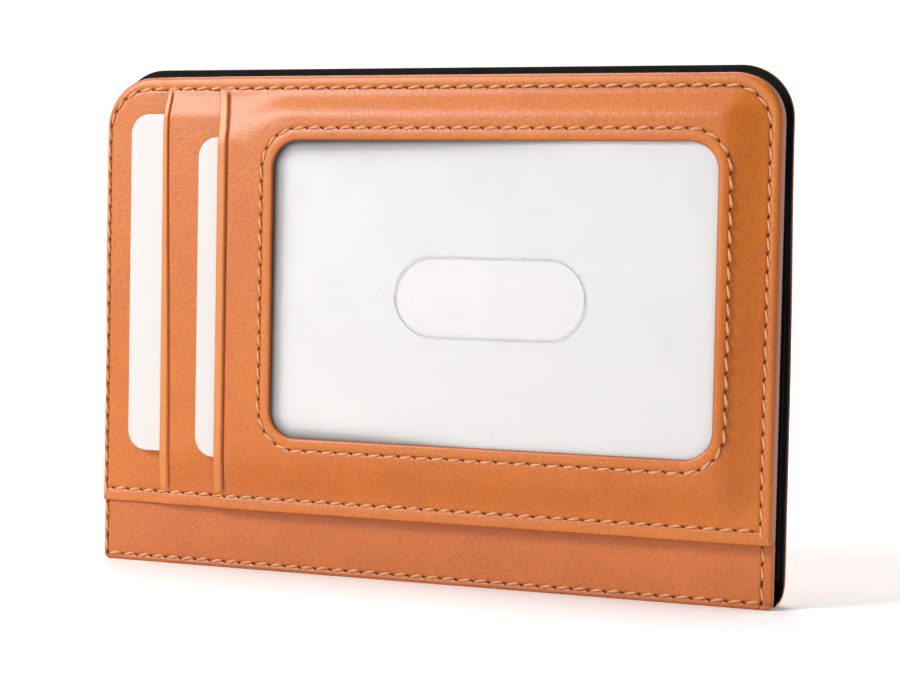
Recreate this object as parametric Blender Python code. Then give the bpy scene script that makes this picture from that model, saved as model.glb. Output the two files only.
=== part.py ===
"""A slim leather card holder that folds along its bottom edge, standing upright.

X runs along the fold, Y from the pocket face to the back, Z up. The origin is on the ground under the
middle of the box that holds every piece. The front leaf carries three stacked leather panels with two card
slots between them, both open at the left. The front panel has a window with a clear film and a thumb slot.
The back leaf is a little larger. A narrow spine joins the leaves and is folded at both its edges.
"""

import math

import bmesh
import bpy

for old_object in list(bpy.data.objects):
    bpy.data.objects.remove(old_object, do_unlink=True)

MM = 0.001

# Cards: a bank card, and a lower insert of the same width and thickness behind the window
card_width = 85.6 * MM
card_height = 53.98 * MM
card_thickness = 0.76 * MM
insert_height = 50.6 * MM
card_corner_r = 3.18 * MM
card_clearance = 0.08 * MM

# Borders between the cards and the edges of the front leaf, and the step from one slot to the next
left_border = 5.1 * MM
right_border = 7.3 * MM
top_border = 5.92 * MM
strip_height = 9.65 * MM
block_border = 8.3 * MM
base_card_rise = 0.35 * MM
slot_step = 12.8 * MM
base_card_reveal = 5.9 * MM
window_card_reveal = 3.6 * MM

# Leaves
leaf_corner_r = 7.0 * MM
back_side_margin = 0.7 * MM
back_top_margin = 1.6 * MM
back_corner_r = 8.0 * MM
back_foot_corner_height = 4.2 * MM
middle_gap = 2.4 * MM
fold_gap = 0.3 * MM

# Plies
cover_leather = 0.6 * MM
back_leather = 0.8 * MM
board_thickness = 0.4 * MM
back_board_thickness = 0.6 * MM
lining_thickness = 0.3 * MM
inner_pocket_leather = 0.3 * MM
base_leather = 0.4 * MM
middle_leather = 0.35 * MM
window_leather = 0.4 * MM
film_thickness = 0.15 * MM
ply_gap = 0.06 * MM
layer_gap = 0.1 * MM
board_inset = 3.0 * MM
lining_inset = 0.35 * MM
inner_pocket_height = 56.0 * MM

# Spine
front_foot_r = 0.4 * MM
back_foot_depth = 2.5 * MM
back_foot_height = 3.7 * MM
spine_lining_inset = 0.8 * MM

# Pocket panels
turned_edge_width = 1.6 * MM
turned_edge_lift = 0.12 * MM
turned_edge_ramp = 0.3 * MM
ramp_clearance = 0.4 * MM
seam_land = 0.5 * MM

# Window, film and thumb slot
window_left_cover = 13.3 * MM
window_right_cover = 1.5 * MM
window_bottom_cover = 3.78 * MM
window_top_cover = 0.48 * MM
window_corner_r = 4.3 * MM
window_seam_inset = 1.9 * MM
film_seam_margin = 0.4 * MM
thumb_slot_shift = 0.4 * MM
thumb_slot_drop = 0.5 * MM
thumb_slot_length = 30.4 * MM
thumb_slot_height = 12.2 * MM

# Seams
thread_r = 0.1 * MM
thread_clearance = 0.06 * MM
thread_fold_gap = 0.5 * MM
edge_seam_inset = 1.7 * MM
top_seam_inset = 1.95 * MM
lower_seam_rise = 2.0 * MM
foot_seam_height = 0.9 * MM
back_seam_rise = 1.5 * MM

edge_round = 0.12 * MM
cut_overrun = 1.0 * MM

corner_steps = 8
ramp_steps = 4
foot_steps = 6
bevel_angle = math.radians(50)

# Depths along Y, counted from the face of the front cover and positive towards the back
base_front = -ply_gap - base_leather
middle_front = base_front - ply_gap - middle_leather
window_front = middle_front - ply_gap - window_leather
thread_proud = thread_clearance + 2 * thread_r
base_card_front = base_front - thread_proud - card_clearance - card_thickness
middle_raised_front = base_card_front - card_clearance - middle_leather
window_card_front = middle_raised_front - turned_edge_lift - card_clearance - card_thickness
film_front = window_card_front - card_clearance - film_thickness
window_raised_front = film_front - ply_gap - window_leather
foremost = window_raised_front - max(turned_edge_lift, thread_proud)
front_board_front = cover_leather + layer_gap
front_lining_front = front_board_front + board_thickness + layer_gap
inner_pocket_front = front_lining_front + lining_thickness + middle_gap
back_lining_front = inner_pocket_front + inner_pocket_leather + layer_gap
back_board_front = back_lining_front + lining_thickness + layer_gap
back_cover_front = back_board_front + back_board_thickness + layer_gap
back_face = back_cover_front + back_leather
hindmost = back_face + thread_proud
centre_depth = (foremost + hindmost) / 2


def at_depth(depth):
    """World Y of a depth."""
    return depth - centre_depth


# Fold lines: an opened leaf lies with its foremost or hindmost point on the ground
front_fold_depth = 0.0
front_fold_height = front_fold_depth - foremost
foot_reach = math.hypot(back_foot_depth, back_foot_height)
foot_phase = math.atan2(back_foot_depth, back_foot_height)
back_fold_turn = math.acos((back_foot_height - back_foot_depth - thread_proud) / foot_reach) - foot_phase
back_fold_depth = back_face - back_foot_depth * (1 - math.sin(back_fold_turn))
back_fold_height = back_foot_height * (1 - math.cos(back_fold_turn))
front_leaf_bottom = front_fold_height + fold_gap / 2
back_leaf_bottom = back_fold_height + fold_gap / 2

# Limits of the leaves, the cards, the window and the flat card area
leaf_width = left_border + slot_step + card_width + right_border
leaf_left = -leaf_width / 2
leaf_right = leaf_width / 2
back_left = leaf_left - back_side_margin
back_right = leaf_right + back_side_margin
base_card_left = leaf_left + left_border
window_card_left = base_card_left + slot_step
middle_mouth = base_card_left + base_card_reveal
window_mouth = window_card_left + window_card_reveal
card_bottom = strip_height + block_border
base_card_bottom = card_bottom + base_card_rise
card_top = base_card_bottom + card_height
insert_top = card_bottom + insert_height
leaf_height = card_top + top_border
back_height = leaf_height + back_top_margin
window_left = window_card_left + window_left_cover
window_right = window_card_left + card_width - window_right_cover
window_bottom = card_bottom + window_bottom_cover
window_top = insert_top - window_top_cover
thumb_slot_centre_x = (window_left + window_right) / 2 + thumb_slot_shift
thumb_slot_centre_z = (window_bottom + window_top) / 2 - thumb_slot_drop
raised_right = max(window_card_left + card_width, window_right + window_seam_inset) + ramp_clearance
raised_top = card_top + ramp_clearance
raised_bottom = card_bottom - ramp_clearance
panel_side_ramp = leaf_right - edge_seam_inset - seam_land - raised_right
panel_top_ramp = leaf_height - top_seam_inset - seam_land - raised_top
lower_seam_height = strip_height + lower_seam_rise
panel_bottom_ramp = raised_bottom - lower_seam_height - seam_land


def plain_material(name, colour, roughness, alpha=1.0):
    """A Principled material of one colour."""
    material = bpy.data.materials.new(name)
    material.use_nodes = True
    shader = material.node_tree.nodes["Principled BSDF"]
    shader.inputs["Base Color"].default_value = (*colour, 1.0)
    shader.inputs["Roughness"].default_value = roughness
    shader.inputs["Metallic"].default_value = 0.0
    shader.inputs["Alpha"].default_value = alpha
    material.diffuse_color = (*colour, alpha)
    return material


tan_leather = plain_material("tan_leather", (0.72, 0.29, 0.09), 0.5)
spine_leather = plain_material("spine_leather", (0.62, 0.24, 0.08), 0.52)
black_lining = plain_material("black_lining", (0.012, 0.012, 0.013), 0.7)
board = plain_material("board", (0.45, 0.38, 0.3), 0.85)
card_plastic = plain_material("card_plastic", (0.9, 0.9, 0.89), 0.35)
clear_film = plain_material("clear_film", (0.92, 0.93, 0.93), 0.1, 0.25)
thread_cotton = plain_material("thread_cotton", (0.9, 0.5, 0.24), 0.6)


def new_object(name, mesh, material):
    """Put a mesh in the scene under a name, with its material."""
    made = bpy.data.objects.new(name, mesh)
    bpy.context.scene.collection.objects.link(made)
    if material:
        mesh.materials.append(material)
    return made


def mesh_from(name, corners, faces):
    """A mesh from its corners and faces, with the faces turned out."""
    shape = bmesh.new()
    points = [shape.verts.new(corner) for corner in corners]
    for face in faces:
        shape.faces.new([points[index] for index in face])
    bmesh.ops.recalc_face_normals(shape, faces=shape.faces)
    mesh = bpy.data.meshes.new(name)
    shape.to_mesh(mesh)
    shape.free()
    return mesh


def prism(name, outline, offset):
    """A closed solid: an outline of 3-D points swept by an offset."""
    shape = bmesh.new()
    face = shape.faces.new([shape.verts.new(point) for point in outline])
    swept = bmesh.ops.extrude_face_region(shape, geom=[face])
    moved = [item for item in swept["geom"] if isinstance(item, bmesh.types.BMVert)]
    bmesh.ops.translate(shape, vec=offset, verts=moved)
    bmesh.ops.recalc_face_normals(shape, faces=shape.faces)
    mesh = bpy.data.meshes.new(name)
    shape.to_mesh(mesh)
    shape.free()
    return mesh


def arc_points(centre, radii, start, turn, steps):
    """Points of an elliptical arc, as pairs."""
    points = []
    for index in range(steps + 1):
        angle = start + turn * index / steps
        points.append((centre[0] + radii[0] * math.cos(angle), centre[1] + radii[1] * math.sin(angle)))
    return points


def rounded_outline(left, right, bottom, top, corners):
    """A rectangle with rounded corners, as X and Z pairs.

    corners holds the X and Z radii of the bottom left, bottom right, top right and top left corner.
    """
    quarter = math.pi / 2
    places = (
        (left, bottom, 1, 1, 2),
        (right, bottom, -1, 1, 3),
        (right, top, -1, -1, 0),
        (left, top, 1, -1, 1),
    )
    points = []
    for (x, z, x_side, z_side, quarters), (radius_x, radius_z) in zip(places, corners):
        if radius_x == 0 or radius_z == 0:
            points.append((x, z))
            continue
        centre = (x + x_side * radius_x, z + z_side * radius_z)
        points += arc_points(centre, (radius_x, radius_z), quarters * quarter, quarter, corner_steps)
    return points


def even(*radii):
    """Corner radii that are the same along X and Z."""
    return [(radius, radius) for radius in radii]


def round_edges(made):
    """A small round on the rim of a ply."""
    bevel = made.modifiers.new("rim", "BEVEL")
    bevel.width = edge_round
    bevel.segments = 1
    bevel.limit_method = "ANGLE"
    bevel.angle_limit = bevel_angle


def plate(name, outline, front, thickness, material):
    """A flat ply: an X and Z outline, from a depth and as thick as given."""
    y = at_depth(front)
    mesh = prism(name, [(x, y, z) for x, z in outline], (0, thickness, 0))
    made = new_object(name, mesh, material)
    round_edges(made)
    return made


def cutter(name, outline, front, back):
    """A hidden prism along Y for a cut."""
    y = at_depth(front) - cut_overrun
    depth = back - front + 2 * cut_overrun
    made = new_object(name, prism(name, [(x, y, z) for x, z in outline], (0, depth, 0)), None)
    made.hide_render = True
    made.display_type = "WIRE"
    return made


def cut(made, tool, operation):
    """Apply a cutter to a piece as a Boolean modifier."""
    boolean = made.modifiers.new(tool.name, "BOOLEAN")
    boolean.operation = operation
    boolean.solver = "EXACT"
    boolean.object = tool


def eased(share):
    """A smooth rise from 0 to 1."""
    share = min(max(share, 0), 1)
    return share * share * (3 - 2 * share)


def raised_share(x, z):
    """How far a pocket panel stands up over the cards: 1 over them, 0 along the sewn edges."""
    right = eased((raised_right + panel_side_ramp - x) / panel_side_ramp)
    upper = eased((raised_top + panel_top_ramp - z) / panel_top_ramp)
    lower = eased((z - raised_bottom + panel_bottom_ramp) / panel_bottom_ramp)
    return right * upper * lower


def ramp_places(start, length):
    """Grid lines across a ramp."""
    return [start + length * index / ramp_steps for index in range(ramp_steps + 1)]


def pocket_panel(name, mouth, sewn_front, raised_front, thickness):
    """A panel sewn flat along three sides, standing up over the cards, with a turned edge at its mouth."""
    bead_end = mouth + turned_edge_width
    xs = [mouth, bead_end, bead_end + turned_edge_ramp]
    xs += ramp_places(raised_right, panel_side_ramp)
    xs.append(leaf_right + cut_overrun)
    zs = [strip_height]
    zs += ramp_places(raised_bottom - panel_bottom_ramp, panel_bottom_ramp)
    zs += ramp_places(raised_top, panel_top_ramp)
    zs.append(leaf_height + cut_overrun)
    corners = []
    for x in xs:
        for z in zs:
            face_depth = sewn_front + (raised_front - sewn_front) * raised_share(x, z)
            lift = turned_edge_lift if x <= bead_end else 0
            corners.append((x, at_depth(face_depth - lift), z))
            corners.append((x, at_depth(face_depth + thickness), z))
    rows = len(zs)

    def front(i, j):
        return 2 * (i * rows + j)

    def back(i, j):
        return front(i, j) + 1

    faces = []
    last_i, last_j = len(xs) - 1, rows - 1
    for i in range(last_i):
        for j in range(last_j):
            for side in (front, back):
                faces.append((side(i, j), side(i + 1, j), side(i + 1, j + 1)))
                faces.append((side(i, j), side(i + 1, j + 1), side(i, j + 1)))
        for j in (0, last_j):
            faces.append((front(i, j), front(i + 1, j), back(i + 1, j), back(i, j)))
    for j in range(last_j):
        for i in (0, last_i):
            faces.append((front(i, j), front(i, j + 1), back(i, j + 1), back(i, j)))
    made = new_object(name, mesh_from(name, corners, faces), tan_leather)
    trim_outline = rounded_outline(
        mouth - cut_overrun,
        leaf_right,
        strip_height - cut_overrun,
        leaf_height,
        even(0, 0, leaf_corner_r, 0),
    )
    trim = cutter(name + "_trim", trim_outline, raised_front - turned_edge_lift, sewn_front + thickness)
    cut(made, trim, "INTERSECT")
    return made


def seam(name, points, closed):
    """A thread as one thin tube through X, depth and Z points."""
    curve = bpy.data.curves.new(name, "CURVE")
    curve.dimensions = "3D"
    curve.bevel_depth = thread_r
    curve.bevel_resolution = 0
    curve.use_fill_caps = not closed
    spline = curve.splines.new("POLY")
    spline.points.add(len(points) - 1)
    for place, (x, depth, z) in zip(spline.points, points):
        place.co = (x, at_depth(depth), z, 1)
    spline.use_cyclic_u = closed
    made = bpy.data.objects.new(name, curve)
    bpy.context.scene.collection.objects.link(made)
    curve.materials.append(thread_cotton)
    return made


def thread_depth(face):
    """Depth of a thread's middle on a face that looks to the front."""
    return face - thread_clearance - thread_r


def build_spine():
    """Leather and lining of the spine, and the foot seam with its two ends."""
    split = fold_gap / 2
    quarter = math.pi / 2
    top = back_fold_height - split
    centre = (back_face - back_foot_depth, back_foot_height)
    outer_turn = math.acos(1 - top / back_foot_height)
    inner_radii = (back_foot_depth - back_leather, back_foot_height - cover_leather)
    inner_turn = math.acos((back_foot_height - top) / inner_radii[1])
    outline = [(0, front_fold_height - split)]
    front_round = (front_foot_r, front_foot_r)
    outline += arc_points(front_round, front_round, math.pi, quarter, foot_steps)
    outline += arc_points(centre, (back_foot_depth, back_foot_height), -quarter, outer_turn, foot_steps)
    outline += arc_points(centre, inner_radii, inner_turn - quarter, -inner_turn, foot_steps)
    outline += [(cover_leather, cover_leather), (cover_leather, front_fold_height - split)]
    points = [(leaf_left, at_depth(depth), height) for depth, height in outline]
    new_object("spine_cover", prism("spine_cover", points, (leaf_width, 0, 0)), spine_leather)

    low = cover_leather + layer_gap
    near = cover_leather + layer_gap
    far = back_face - back_foot_depth
    outline = [(near, low), (far, low), (far, low + lining_thickness), (near, low + lining_thickness)]
    points = [(leaf_left + spine_lining_inset, at_depth(depth), height) for depth, height in outline]
    length = leaf_width - 2 * spine_lining_inset
    new_object("spine_lining", prism("spine_lining", points, (length, 0, 0)), black_lining)

    depth = thread_depth(0)
    side_x = leaf_right - edge_seam_inset
    high = front_fold_height - thread_fold_gap
    route = [
        (-side_x, depth, high),
        (-side_x, depth, foot_seam_height),
        (side_x, depth, foot_seam_height),
        (side_x, depth, high),
    ]
    seam("spine_thread", route, False)


def build_front_leaf():
    """The front cover with its board and lining, and the three pocket panels."""
    round_top = even(0, 0, leaf_corner_r, leaf_corner_r)
    whole = rounded_outline(leaf_left, leaf_right, front_leaf_bottom, leaf_height, round_top)
    plate("front_cover", whole, 0, cover_leather, spine_leather)
    inner_r = leaf_corner_r - board_inset
    inner = rounded_outline(
        leaf_left + board_inset,
        leaf_right - board_inset,
        front_leaf_bottom + board_inset,
        leaf_height - board_inset,
        even(inner_r, inner_r, inner_r, inner_r),
    )
    plate("front_board", inner, front_board_front, board_thickness, board)
    lined_r = leaf_corner_r - lining_inset
    lined = rounded_outline(
        leaf_left + lining_inset,
        leaf_right - lining_inset,
        front_leaf_bottom,
        leaf_height - lining_inset,
        even(0, 0, lined_r, lined_r),
    )
    plate("front_lining", lined, front_lining_front, lining_thickness, black_lining)
    block = rounded_outline(leaf_left, leaf_right, strip_height, leaf_height, round_top)
    plate("pocket_base", block, base_front, base_leather, tan_leather)
    pocket_panel("pocket_middle", middle_mouth, middle_front, middle_raised_front, middle_leather)
    panel = pocket_panel("window_panel", window_mouth, window_front, window_raised_front, window_leather)
    opening = rounded_outline(
        window_left,
        window_right,
        window_bottom,
        window_top,
        even(window_corner_r, window_corner_r, window_corner_r, window_corner_r),
    )
    window_cut = cutter("window_cut", opening, window_raised_front, window_front + window_leather)
    cut(panel, window_cut, "DIFFERENCE")


def build_film():
    """The clear film behind the window, with its thumb slot."""
    reach = window_seam_inset + film_seam_margin
    film_r = window_corner_r + reach
    outline = rounded_outline(
        window_left - reach,
        min(window_right + reach, raised_right),
        window_bottom - reach,
        window_top + reach,
        even(film_r, film_r, film_r, film_r),
    )
    y = at_depth(film_front)
    mesh = prism("window_film", [(x, y, z) for x, z in outline], (0, film_thickness, 0))
    film = new_object("window_film", mesh, clear_film)
    slot_r = thumb_slot_height / 2
    slot = rounded_outline(
        thumb_slot_centre_x - thumb_slot_length / 2,
        thumb_slot_centre_x + thumb_slot_length / 2,
        thumb_slot_centre_z - slot_r,
        thumb_slot_centre_z + slot_r,
        even(slot_r, slot_r, slot_r, slot_r),
    )
    cut(film, cutter("thumb_slot_cut", slot, film_front, film_front + film_thickness), "DIFFERENCE")


def build_cards():
    """The blank card and the blank insert, one in each slot."""
    for name, left, front, bottom, top in (
        ("card_base", base_card_left, base_card_front, base_card_bottom, card_top),
        ("card_window", window_card_left, window_card_front, card_bottom, insert_top),
    ):
        outline = rounded_outline(
            left,
            left + card_width,
            bottom,
            top,
            even(card_corner_r, card_corner_r, card_corner_r, card_corner_r),
        )
        plate(name, outline, front, card_thickness, card_plastic)


def stepped_run(height, start_x, end_x):
    """Seam points along a level line over the base, the middle panel and the window panel, left to right."""
    aside = thread_clearance + thread_r
    places = [(start_x, base_front)]
    for mouth, before, after in (
        (middle_mouth, base_front, middle_front - turned_edge_lift),
        (window_mouth, middle_front, window_front - turned_edge_lift),
    ):
        places += [(mouth - aside, before), (mouth - aside, after)]
        bead_end = mouth + turned_edge_width + turned_edge_ramp
        places += [(bead_end, after), (bead_end + aside, after + turned_edge_lift)]
    places.append((end_x, window_front))
    return [(x, thread_depth(face), height) for x, face in places]


def build_front_seams():
    """Threads of the front leaf: round its edge, along the bottom of the panels and round the window."""
    side_x = leaf_right - edge_seam_inset
    top_z = leaf_height - top_seam_inset
    turn_r = leaf_corner_r - edge_seam_inset
    quarter = math.pi / 2
    aside = thread_clearance + thread_r
    low = front_fold_height + thread_fold_gap
    turn = (turn_r, turn_r)
    left_arc = arc_points((turn_r - side_x, top_z - turn_r), turn, math.pi, -quarter, corner_steps)
    right_arc = arc_points((side_x - turn_r, top_z - turn_r), turn, quarter, -quarter, corner_steps)
    under = strip_height - aside
    route = [(-side_x, thread_depth(0), low), (-side_x, thread_depth(0), under)]
    route.append((-side_x, thread_depth(base_front), under))
    route += [(x, thread_depth(base_front), z) for x, z in left_arc[:-1]]
    route += stepped_run(top_z, left_arc[-1][0], right_arc[0][0])
    rise = window_raised_front - window_front
    route += [(x, thread_depth(window_front + rise * raised_share(x, z)), z) for x, z in right_arc[1:]]
    route.append((side_x, thread_depth(window_front), under))
    route += [(side_x, thread_depth(0), under), (side_x, thread_depth(0), low)]
    seam("front_thread", route, False)

    ends = side_x - thread_clearance - 2 * thread_r
    seam("lower_thread", stepped_run(lower_seam_height, -ends, ends), False)

    seam_r = window_corner_r + window_seam_inset
    ring = rounded_outline(
        window_left - window_seam_inset,
        window_right + window_seam_inset,
        window_bottom - window_seam_inset,
        window_top + window_seam_inset,
        even(seam_r, seam_r, seam_r, seam_r),
    )
    seam("window_thread", [(x, thread_depth(window_raised_front), z) for x, z in ring], True)


def back_outline(inset, bottom, height):
    """The outline of a ply of the back leaf."""
    top_r = back_corner_r - inset
    return rounded_outline(
        back_left + inset, back_right - inset, bottom, height - inset, even(0, 0, top_r, top_r)
    )


def build_back_cover():
    """The back cover: flat above, and curved under to the back fold."""
    split = back_leaf_bottom
    quarter = math.pi / 2
    centre = (back_face - back_foot_depth, back_foot_height)
    outer_turn = math.acos(1 - split / back_foot_height)
    outer_radii = (back_foot_depth, back_foot_height)
    outer = arc_points(centre, outer_radii, outer_turn - quarter, quarter - outer_turn, foot_steps)
    inner_radii = (back_foot_depth - back_leather, back_foot_height - cover_leather)
    inner_turn = math.acos((back_foot_height - split) / inner_radii[1])
    inner = arc_points(centre, inner_radii, 0, inner_turn - quarter, foot_steps)
    profile = outer + [(back_face, back_height), (back_face - back_leather, back_height)] + inner
    points = [(back_left, at_depth(depth), height) for depth, height in profile]
    width = back_right - back_left
    cover = new_object("back_cover", prism("back_cover", points, (width, 0, 0)), tan_leather)
    outline = rounded_outline(
        back_left,
        back_right,
        0,
        back_height,
        [
            (back_side_margin, back_foot_corner_height),
            (back_side_margin, back_foot_corner_height),
            (back_corner_r, back_corner_r),
            (back_corner_r, back_corner_r),
        ],
    )
    cut(cover, cutter("back_cover_trim", outline, back_cover_front - back_foot_depth, back_face), "INTERSECT")


def build_back_leaf():
    """The back leaf: cover, board, lining, the pocket inside it, and its seam."""
    build_back_cover()
    board_bottom = back_foot_height + layer_gap
    board_r = back_corner_r - board_inset
    outline = rounded_outline(
        back_left + board_inset,
        back_right - board_inset,
        board_bottom,
        back_height - board_inset,
        even(0, 0, board_r, board_r),
    )
    plate("back_board", outline, back_board_front, back_board_thickness, board)
    plate(
        "back_lining",
        back_outline(lining_inset, board_bottom, back_height),
        back_lining_front,
        lining_thickness,
        black_lining,
    )
    pocket_top = board_bottom + inner_pocket_height
    outline = rounded_outline(leaf_left, leaf_right, board_bottom, pocket_top, even(0, 0, 0, 0))
    plate("inner_pocket", outline, inner_pocket_front, inner_pocket_leather, black_lining)

    inset = edge_seam_inset + back_side_margin
    ring_r = back_corner_r - inset
    ring = rounded_outline(
        back_left + inset,
        back_right - inset,
        back_foot_height + back_seam_rise,
        back_height - inset,
        even(ring_r, ring_r, ring_r, ring_r),
    )
    depth = back_face + thread_clearance + thread_r
    seam("back_thread", [(x, depth, z) for x, z in ring], True)


def carrier(name, place, names, parent=None):
    """An empty at a joint, which carries the pieces that move with it."""
    empty = bpy.data.objects.new(name, None)
    bpy.context.scene.collection.objects.link(empty)
    empty.location = place
    bpy.context.view_layer.update()
    for piece_name in names:
        piece = bpy.data.objects[piece_name]
        piece.parent = empty
        piece.matrix_parent_inverse = empty.matrix_world.inverted()
    if parent:
        empty.parent = parent
        empty.matrix_parent_inverse = parent.matrix_world.inverted()
    return empty


def build_carriers():
    """The two folds, and the slides of the two cards in the front leaf."""
    front_pieces = ["front_cover", "front_board", "front_lining", "pocket_base", "pocket_middle"]
    front_pieces += ["window_panel", "window_film", "front_thread", "lower_thread", "window_thread"]
    back_pieces = ["back_cover", "back_board", "back_lining", "inner_pocket", "back_thread"]
    front_place = (0, at_depth(front_fold_depth), front_fold_height)
    front_fold = carrier("front_fold", front_place, front_pieces)
    carrier("back_fold", (0, at_depth(back_fold_depth), back_fold_height), back_pieces)
    for name, left, front, middle in (
        ("card_base", base_card_left, base_card_front, (base_card_bottom + card_top) / 2),
        ("card_window", window_card_left, window_card_front, (card_bottom + insert_top) / 2),
    ):
        place = (left + card_width / 2, at_depth(front + card_thickness / 2), middle)
        carrier(name + "_slide", place, [name], front_fold)


build_spine()
build_front_leaf()
build_film()
build_cards()
build_front_seams()
build_back_leaf()
build_carriers()
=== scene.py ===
import math

import bpy
from mathutils import Matrix, Vector

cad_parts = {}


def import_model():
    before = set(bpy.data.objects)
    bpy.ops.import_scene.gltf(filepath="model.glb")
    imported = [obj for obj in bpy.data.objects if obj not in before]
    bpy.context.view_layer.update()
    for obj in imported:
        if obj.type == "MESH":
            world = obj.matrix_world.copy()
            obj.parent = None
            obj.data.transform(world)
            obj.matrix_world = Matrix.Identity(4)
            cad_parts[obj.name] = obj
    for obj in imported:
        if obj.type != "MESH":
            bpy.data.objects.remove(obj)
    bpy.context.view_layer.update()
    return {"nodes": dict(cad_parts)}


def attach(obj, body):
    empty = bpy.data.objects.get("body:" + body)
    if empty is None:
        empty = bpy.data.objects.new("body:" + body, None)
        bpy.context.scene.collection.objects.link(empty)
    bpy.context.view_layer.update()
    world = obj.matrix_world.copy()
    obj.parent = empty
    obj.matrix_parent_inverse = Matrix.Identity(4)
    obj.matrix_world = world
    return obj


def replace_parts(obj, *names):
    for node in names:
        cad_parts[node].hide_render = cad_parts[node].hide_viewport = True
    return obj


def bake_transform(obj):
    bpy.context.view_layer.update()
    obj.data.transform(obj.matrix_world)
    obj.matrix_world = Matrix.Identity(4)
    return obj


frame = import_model()

# Lengths are in millimetres up to world(), which gives metres. A depth is counted from the face of the
# front cover towards the back, and the world's Y zero lies at this depth.
MM = 0.001
CENTRE_DEPTH = 1.28

# Front leaf
LEAF_X = 55.4
LEAF_TOP = 78.2
LEAF_R = 7.0
LEFT_R = 8.2
BLOCK_BOTTOM = 9.65
SEAM_RIGHT = 53.75
SEAM_LEFT = -54.7
SEAM_TOP = 76.25
SEAM_R = 5.8
SEAM_LEFT_R = 7.0
SEAM_LOW = 11.65
MOUTH_MIDDLE = -44.4
MOUTH_WINDOW = -33.9
MIDDLE_LEAN = (-0.3, 0.3)
WINDOW_LEAN = (-0.82, -0.7)
BASE_FACE = -0.46
MIDDLE_FACE = -1.02
MIDDLE_RAISED = -1.99
WINDOW_FACE = -1.7
WINDOW_RAISED = -3.64
WINDOW = (-24.2, 46.6, 21.73, 68.07)
WINDOW_R = 4.3
WINDOW_SEAM = 1.9
WALL_BACK = 1.05

# Ramps of the raised panels: where they are fully raised, and how far they take to come down
RAISED_RIGHT, RIGHT_RAMP = 47.4, 6.1
TOP_END, TOP_RAMP, MOUTH_RAMP = 76.1, 4.5, 9.1
RAISED_LOW, LOW_RAMP = 18.6, 6.7

# Film and thumb slot
FILM_FACE = -3.18
SLOT_CENTRE = (11.6, 44.4)
SLOT_HALF = 15.2
SLOT_R = 6.1

# Back leaf and spine
BACK_X = 56.1
BACK_TOP = 79.8
BACK_TAPER = 0.4
BACK_R = 8.0
BACK_FACE = 6.2
BACK_LIP = 5.4
FOOT_DEPTH = 2.5
FOOT_HEIGHT = 3.7
FOOT_CORNER = 4.2
SIDE_MARGIN = 0.7
SPINE_MIDDLE = 3.1
COVER = 0.6
BACK_SEAM_INSET = 2.5
BACK_SEAM_LOW = 5.2
FOOT_SEAM = 0.95
TOP_POINTS = 39
LINING_BACK, LINING_FRONT = 0.66, 0.74
LINING_MARGIN = 0.9

# Seams: the pitch of the stitches, how deep the leather is drawn in, and how deep the thread lies
PITCH = 2.62
SEAM_DEPTH = 0.13
THREAD_DEPTH = 0.05
SEAM_TURN = 7.0

# Panels go this far under the rim
UNDER_RIM = 0.45

# Tones of painted shade on undersides and insides, sides that hardly show
UNDERSIDE_SHADE = -0.8
INSIDE_SHADE = -0.9

# The photograph's view, in degrees, millimetres of lens and metres
VIEW_YAW, VIEW_RISE, VIEW_ROLL = 20.6159, 2.7096, 1.1002
VIEW_LENS = 86.1405
VIEW_PLACE = (0.120461, -0.309636, 0.053768)

# Lights: place and width in metres, power in watts
KEY = ((-0.46, -0.47, 0.52), (0.26, 0.26), 5.6)
SHEEN = ((-0.355, -0.58, 0.305), (0.2, 0.2), 2.9)
TOP_LIGHT = ((0.0, 0.1, 0.95), (0.9, 0.7), 6.2)
BACK_LIGHT = ((-0.35, 0.70, 0.55), (0.5, 0.5), 4.0)
LIGHT_TARGET = (0.0, 0.0, 0.04)
WORLD_STRENGTH = 0.02


def world(x, depth, z):
    """The point in metres for an X, a depth and a height in millimetres."""
    return Vector((x * MM, (depth - CENTRE_DEPTH) * MM, z * MM))


def clamp(value, low=0.0, high=1.0):
    return min(max(value, low), high)


def ease(share):
    share = clamp(share)
    return share * share * (3 - 2 * share)


def bump(distance, width):
    """1 at zero distance, falling smoothly to almost nothing at twice the width."""
    return math.exp(-((distance / width) ** 2))


# ---------------------------------------------------------------- meshes

def mesh_object(name, points, faces, tones, material):
    """A mesh piece with a tone for each point: below zero for painted shade in creases, seams and on sides
    away from the light, above it for worn edges.
    """
    mesh = bpy.data.meshes.new(name)
    mesh.from_pydata([tuple(p) for p in points], [], faces)
    mesh.validate()
    attribute = mesh.attributes.new("tone", "FLOAT", "POINT")
    attribute.data.foreach_set("value", tones)
    mesh.polygons.foreach_set("use_smooth", [True] * len(mesh.polygons))
    mesh.update()
    made = bpy.data.objects.new(name, mesh)
    bpy.context.scene.collection.objects.link(made)
    made.data.materials.append(material)
    return made


class Sheet:
    """Rows of points joined by quads, with a tone for each point."""

    def __init__(self):
        self.points, self.tones, self.faces, self.rows = [], [], [], []

    def row(self, entries):
        """Add a row of (point, tone) and give its indices."""
        start = len(self.points)
        for point, tone in entries:
            self.points.append(point)
            self.tones.append(tone)
        self.rows.append(range(start, start + len(entries)))
        return self.rows[-1]

    def join(self, one, two, closed):
        count = len(one)
        for i in range(count if closed else count - 1):
            j = (i + 1) % count
            self.faces.append((one[i], one[j], two[j], two[i]))

    def join_all(self, closed_rows, closed_sheet):
        for one, two in zip(self.rows, self.rows[1:]):
            self.join(one, two, closed_rows)
        if closed_sheet:
            self.join(self.rows[-1], self.rows[0], closed_rows)

    def cap(self, row):
        self.faces.append(tuple(row))

    def make(self, name, material, slot, flip=False):
        faces = [tuple(reversed(f)) for f in self.faces] if flip else self.faces
        return mesh_object(name, self.points, faces, self.tones, material)


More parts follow.
